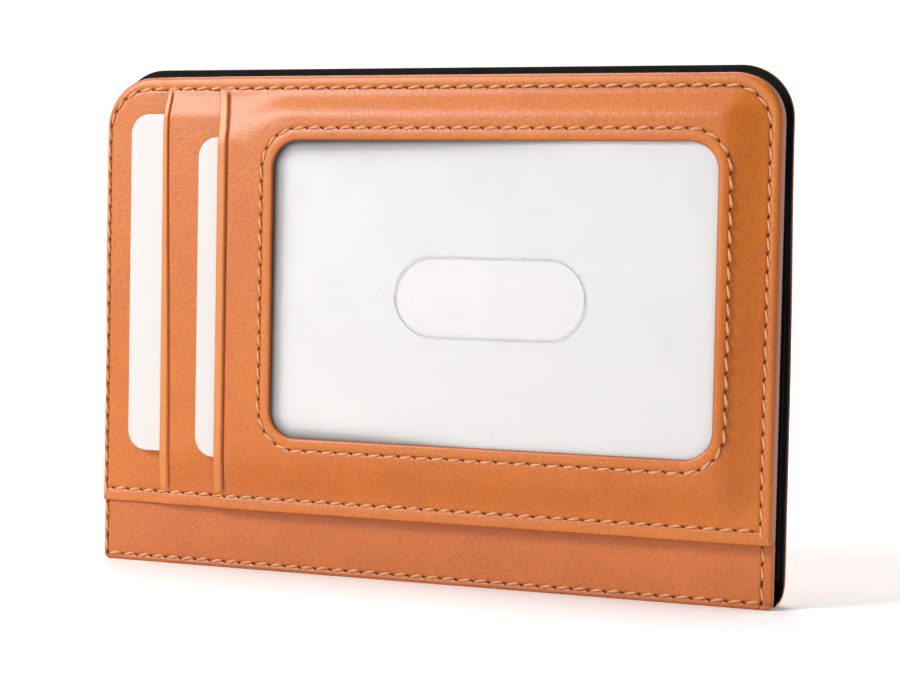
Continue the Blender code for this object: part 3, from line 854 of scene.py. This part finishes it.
def build_back_skin():
    """The back leaf's leather: flat, curved under to the middle of the spine, its edges turned forward."""
    r = 0.7
    lip = BACK_FACE - BACK_LIP
    # Painted shade on the turned edge and its roll
    insets = [(0.12, lip + 0.03, -0.6), (0.10, lip, 0.0), (0.03, lip - 0.02, 0.1)]
    for i in range(7):
        angle = math.pi / 2 * i / 6
        insets.append((r - r * math.cos(angle), r - r * math.sin(angle), -0.25 * (1 - i / 6)))
    flat = [0.9, 1.3, 1.7, 2.0, 2.2, 2.35, 2.5, 2.65, 2.8, 3.0, 3.4, 4.5, 6.5, 9.0]
    for s in flat + [14.0, 20.0, 28.0, 38.0, 48.0, 54.0]:
        insets.append((s, -0.03 * bump(s - 1.5, 0.5), 0.0))
    sheet = Sheet()
    for inset, sunk, tone in insets:
        sheet.row(back_row(inset, sunk, tone))
    sheet.join_all(False, False)
    last = sheet.rows[-1]
    for i in range((len(last) - TOP_POINTS) // 2 - 1):
        sheet.faces.append((last[i], last[i + 1], last[-i - 2], last[-i - 1]))
    return sheet.make("back_skin", TAN, "tan_leather", True)


def build_back_edge():
    """The black lining, wrapped round the edge of the back board."""
    sheet = Sheet()
    inner_side = [(0.9, 1.88), (0.5, 1.88), (0.2, 1.87), (0.11, 1.79)]
    outer_side = [(0.11, 0.86), (0.2, 0.81), (0.5, 0.81), (0.9, 0.81)]
    for inset, sunk in inner_side + outer_side:
        sheet.row(back_row(inset, sunk, 0.0))
    sheet.join_all(False, True)
    return sheet.make("back_lining_edge", LINING, "black_lining", True)


def build_fold_lining():
    """The black lining inside the curve of the fold, from the spine's middle up to the back leaf."""
    sheet = Sheet()
    shares = [i / 26 for i in range(27)]
    layers = [(LINING_FRONT, s) for s in shares] + [(LINING_BACK, s) for s in reversed(shares)]
    for x in steps(-1.0, 1.0, 60) + [1.0]:
        section = []
        for inset, s in layers:
            depth, z, nd, nz = back_profile_point(s)
            half = back_half_width(z) - LINING_MARGIN
            section.append((world(x * half, depth - nd * inset, z - nz * inset), 0.0))
        sheet.row(section)
    sheet.join_all(True, False)
    sheet.cap(reversed(sheet.rows[0]))
    sheet.cap(sheet.rows[-1])
    return sheet.make("fold_lining", LINING, "black_lining")


# ---------------------------------------------------------------- seams

def spread(path, pitch, closed=False):
    """Points evenly along a path of (x, depth, z), about a pitch apart."""
    line = [Vector(p) for p in path]
    if closed:
        line.append(line[0])
    lengths = [(b - a).length for a, b in zip(line, line[1:])]
    total = sum(lengths)
    count = max(round(total / pitch), 1)
    found, walked, k = [], 0.0, 0
    for i in range(count + (0 if closed else 1)):
        goal = total * i / count
        while k < len(lengths) - 1 and walked + lengths[k] < goal:
            walked += lengths[k]
            k += 1
        t = clamp((goal - walked) / lengths[k]) if lengths[k] else 0.0
        found.append(line[k].lerp(line[k + 1], t))
    if closed:
        found.append(found[0].copy())
    return found


def stitches(name, path, body, out=-1.0, closed=False):
    """A row of single stitches, each a small two-ply arch between slanted needle holes.

    The path runs clockwise as seen from outside, so that each stitch leans from inside to outside.
    """
    holes = spread(path, PITCH, closed)
    thread, dark = Sheet(), Sheet()
    normal = Vector((0, out, 0))
    along, around = 11, 10
    for k, (start, end) in enumerate(zip(holes, holes[1:])):
        way = end - start
        length = way.length
        way.normalize()
        side = normal.cross(way)
        wobble = 0.03 * math.sin(k * 2.399) + 0.02 * math.sin(k * 5.1)
        rings = []
        for i in range(along + 1):
            u = i / along
            arch = math.sin(math.pi * clamp(u, 0.0, 1.0))
            height = -0.14 + 0.22 * arch**0.6
            lean = (u - 0.5) * 0.34 + 0.12 * arch + wobble
            centre = start + way * (length * (0.10 + 0.84 * u)) + normal * height + side * lean
            radius = 0.08 + 0.10 * arch**0.6
            entries = []
            for j in range(around):
                angle = 2 * math.pi * j / around
                ply = 1 + 0.16 * math.cos(2 * (angle - 5.2 * u))
                offset = normal * (math.sin(angle) * radius * ply * 0.85)
                offset += side * (math.cos(angle) * radius * ply * 1.12)
                # Painted shade: darker where the thread dips into its holes, and in the groove between the
                # plies on the front
                tone = -0.9 * (1 - arch) ** 2
                if math.sin(angle) > -0.2:
                    tone -= 0.25 * (1 - (ply - 0.84) / 0.32)
                entries.append((world(*(centre + offset)), tone))
            rings.append(thread.row(entries))
        for one, two in zip(rings, rings[1:]):
            thread.join(one, two, True)
        thread.cap(reversed(rings[0]))
        thread.cap(rings[-1])
    for k, hole in enumerate(holes[:-1] if closed else holes):
        before = holes[k - 1] if k else (holes[-2] if closed else hole)
        after = holes[k + 1] if k + 1 < len(holes) else hole
        way = (after - before).normalized()
        side = normal.cross(way)
        long_way = (way - side * 0.75).normalized()
        short_way = normal.cross(long_way)
        rings = []
        # Each hole is a shallow dark mark, painted shade of the hole
        for size, lift in ((1.0, -0.02), (0.94, 0.02), (0.6, -0.02), (0.2, -0.05)):
            entries = []
            for j in range(12):
                angle = 2 * math.pi * j / 12
                offset = long_way * (0.36 * size * math.cos(angle))
                offset += short_way * (0.17 * size * math.sin(angle))
                entries.append((world(*(hole + offset + normal * lift)), -0.6))
            rings.append(dark.row(entries))
        for one, two in zip(rings, rings[1:]):
            dark.join(one, two, True)
        dark.cap(rings[-1])
        dark.cap(reversed(rings[0]))
    made = thread.make(name, THREAD, "thread", out < 0)
    marks = dark.make(name + "_holes", HOLE, "thread", out < 0)
    for piece in (made, marks):
        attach(piece, body)
    return made


def build_front_seams():
    dip = THREAD_DEPTH

    def corner(r):
        angles = [math.pi - math.pi / 2 * i / 12 for i in range(13)]
        return [(r + r * math.cos(angle), SEAM_TOP - r + r * math.sin(angle)) for angle in angles]

    path = [(SEAM_LEFT, BASE_FACE + dip, BLOCK_BOTTOM + 0.7)]
    path += [(SEAM_LEFT + x, BASE_FACE + dip, z) for x, z in corner(SEAM_LEFT_R)]
    path += [(x, level(x, SEAM_TOP) + dip, SEAM_TOP) for x in steps(-47.0, -31.0, 32)]
    path += [(SEAM_RIGHT - x, WINDOW_FACE + dip, z) for x, z in reversed(corner(SEAM_R))]
    path.append((SEAM_RIGHT, WINDOW_FACE + dip, BLOCK_BOTTOM + 0.7))
    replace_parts(stitches("edge_stitches", path, "front_leaf"), "front_thread")
    across = [SEAM_LEFT + 1.2] + steps(-47.0, -31.0, 32) + [SEAM_RIGHT - 1.2]
    lower = [(x, level(x, SEAM_LOW) + dip, SEAM_LOW) for x in across]
    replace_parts(stitches("lower_stitches", lower, "front_leaf"), "lower_thread")
    for name, x in (("strip_left_stitches", SEAM_LEFT), ("strip_right_stitches", SEAM_RIGHT)):
        way = [(x, dip, 4.1), (x, dip, BLOCK_BOTTOM - 0.2)]
        stitches(name, way if x < 0 else list(reversed(way)), "front_leaf")
    out = tuple(v + s * WINDOW_SEAM for v, s in zip(WINDOW, (-1, 1, -1, 1)))
    ring = loop(*out, (WINDOW_R + WINDOW_SEAM,) * 4, 60, 40, 12)
    path = [(x, WINDOW_RAISED + dip, z) for x, z in reversed(ring)]
    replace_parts(stitches("window_stitches", path, "front_leaf", closed=True), "window_thread")
    foot = [(SEAM_LEFT, dip, 3.6), (SEAM_LEFT, dip, FOOT_SEAM + 0.2)]
    stitches("foot_left_stitches", list(reversed(foot)), "spine")
    foot = [(SEAM_LEFT, dip, FOOT_SEAM), (SEAM_RIGHT, dip, FOOT_SEAM)]
    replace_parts(stitches("foot_stitches", foot, "spine"), "spine_thread")
    foot = [(SEAM_RIGHT, dip, 3.6), (SEAM_RIGHT, dip, FOOT_SEAM + 0.2)]
    stitches("foot_right_stitches", foot, "spine")


def build_back_seam():
    ring = loop(*BACK_SEAM, (BACK_SEAM_R,) * 4, 60, 40, 12)
    path = [(x, BACK_FACE - THREAD_DEPTH, z) for x, z in ring]
    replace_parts(stitches("back_stitches", path, "back_leaf", 1.0, True), "back_thread")


# ---------------------------------------------------------------- small pieces

def tube_ring(name, path, radius, squeeze, material, slot):
    """A closed bead along a loop of (x, depth, z), standing out to the front by its squeezed radius."""
    sheet = Sheet()
    front = Vector((0, -1, 0))
    count = len(path)
    for k in range(count):
        here, after, before = (Vector(path[i % count]) for i in (k, k + 1, k - 1))
        way = (after - before).normalized()
        side = front.cross(way)
        entries = []
        for j in range(8):
            angle = 2 * math.pi * j / 8
            offset = side * (radius * math.cos(angle)) + front * (radius * squeeze * math.sin(angle))
            entries.append((world(*(here + offset)), 0.0))
        sheet.row(entries)
    sheet.join_all(True, True)
    return sheet.make(name, material, slot, True)


def build_slot_edge():
    """The fine raised line where the film was cut for the thumb slot."""
    cx, cz = SLOT_CENTRE
    box = (cx - SLOT_HALF, cx + SLOT_HALF, cz - SLOT_R, cz + SLOT_R)
    ring = loop(*box, (SLOT_R,) * 4, 30, 2, 20)
    path = [(x, FILM_FACE, z) for x, z in ring]
    edge = tube_ring("slot_edge", path, 0.11, 0.55, SLOT_EDGE, "clear_film")
    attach(edge, "front_leaf")


def build_inner_hem():
    """A turned hem along the top of the pocket inside the back leaf."""
    sheet = Sheet()
    section = [(3.92, 57.0), (3.78, 57.15), (3.72, 57.4), (3.70, 58.4), (3.72, 59.4), (3.80, 59.75)]
    section += [(3.92, 59.9), (4.1, 59.95), (4.22, 59.9), (4.22, 59.82), (3.93, 59.7), (3.93, 57.1)]
    places = steps(-LEAF_X + 0.2, LEAF_X - 0.2, 80) + [LEAF_X - 0.2]
    for x in places:
        sheet.row([(world(x, d + 0.015 * math.sin(x * 0.9), z), 0.0) for d, z in section])
    sheet.join_all(True, False)
    sheet.cap(reversed(sheet.rows[0]))
    sheet.cap(sheet.rows[-1])
    hem = sheet.make("inner_pocket_hem", LINING, "black_lining")
    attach(hem, "back_leaf")


def paint(node, material):
    """Give a carried-over CAD node its finish."""
    for place in frame["nodes"][node].material_slots:
        place.material = material


def build_holder():
    for piece, node in (
        (build_rim(), None),
        (build_base_panel(), "pocket_base"),
        (build_middle_panel(), "pocket_middle"),
        (build_window_panel(), "window_panel"),
    ):
        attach(piece, "front_leaf")
        if node:
            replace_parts(piece, node)
    skin = build_front_skin()
    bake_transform(skin)
    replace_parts(skin, "front_cover", "spine_cover")
    skin = build_back_skin()
    for piece in (skin, build_back_edge(), build_fold_lining()):
        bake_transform(piece)
    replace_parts(skin, "back_cover")
    build_front_seams()
    build_back_seam()
    build_slot_edge()
    build_inner_hem()
    for node in ("front_lining", "back_lining", "inner_pocket", "spine_lining"):
        paint(node, LINING)
    for node in ("front_board", "back_board"):
        paint(node, BOARD)
    for node in ("card_base", "card_window"):
        paint(node, CARD)
    paint("window_film", FILM)


# ---------------------------------------------------------------- studio

def build_stage():
    """A pale floor that rises all round far behind, so that no horizon shows."""
    flat, bend, top, around = 1.1, 0.35, 0.9, 96
    sheet = Sheet()
    rings = [(r, 0.0) for r in (0.25, 0.5, 0.8, flat)]
    for i in range(1, 13):
        angle = math.pi / 2 * i / 12
        rings.append((flat + bend * math.sin(angle), bend - bend * math.cos(angle)))
    rings.append((flat + bend, top))
    for radius, height in rings:
        angles = [2 * math.pi * j / around for j in range(around)]
        sheet.row([(Vector((radius * math.cos(a), radius * math.sin(a), height)), 0.0) for a in angles])
    sheet.join_all(True, False)
    sheet.cap(reversed(sheet.rows[0]))
    mesh = bpy.data.meshes.new("studio_floor")
    mesh.from_pydata([tuple(p) for p in sheet.points], [], sheet.faces)
    mesh.polygons.foreach_set("use_smooth", [True] * len(mesh.polygons))
    floor = bpy.data.objects.new("studio_floor", mesh)
    bpy.context.scene.collection.objects.link(floor)
    mesh.materials.append(floor_material())


def soft_light(name, place, size, power):
    data = bpy.data.lights.new(name, "AREA")
    data.shape = "RECTANGLE"
    data.size, data.size_y = size
    data.energy = power
    light = bpy.data.objects.new(name, data)
    bpy.context.scene.collection.objects.link(light)
    light.location = place
    light.visible_camera = False
    light.rotation_mode = "QUATERNION"
    light.rotation_quaternion = (Vector(LIGHT_TARGET) - Vector(place)).to_track_quat("-Z", "Y")
    return light


def build_lights():
    soft_light("key", *KEY)
    sheen = soft_light("sheen", *SHEEN)
    sheen.visible_diffuse = False
    soft_light("top", *TOP_LIGHT)
    soft_light("back", *BACK_LIGHT)
    world_settings = bpy.data.worlds.new("studio")
    bpy.context.scene.world = world_settings
    world_settings.use_nodes = True
    background = world_settings.node_tree.nodes["Background"]
    background.inputs["Color"].default_value = (1.0, 1.0, 1.0, 1.0)
    background.inputs["Strength"].default_value = WORLD_STRENGTH


def build_camera():
    """The photograph's view, found from the corners of the leaf, the window and the cards."""
    yaw, rise, roll = (math.radians(a) for a in (VIEW_YAW, VIEW_RISE, VIEW_ROLL))
    forward = Vector((-math.sin(yaw) * math.cos(rise), math.cos(yaw) * math.cos(rise), -math.sin(rise)))
    right = Vector((math.cos(yaw), math.sin(yaw), 0.0))
    up = right.cross(forward)
    level_right = right * math.cos(roll) + up * math.sin(roll)
    level_up = up * math.cos(roll) - right * math.sin(roll)
    data = bpy.data.cameras.new("photo_camera")
    data.lens, data.sensor_width, data.sensor_fit = VIEW_LENS, 36.0, "HORIZONTAL"
    data.clip_start, data.clip_end = 0.01, 20.0
    camera = bpy.data.objects.new("photo_camera", data)
    bpy.context.scene.collection.objects.link(camera)
    turn = Matrix((level_right, level_up, -forward)).transposed().to_4x4()
    camera.matrix_world = Matrix.Translation(VIEW_PLACE) @ turn
    bpy.context.scene.camera = camera


build_holder()
build_stage()
build_lights()
build_camera()
bpy.context.scene.view_settings.view_transform = "Standard"
bpy.context.scene.view_settings.look = "None"
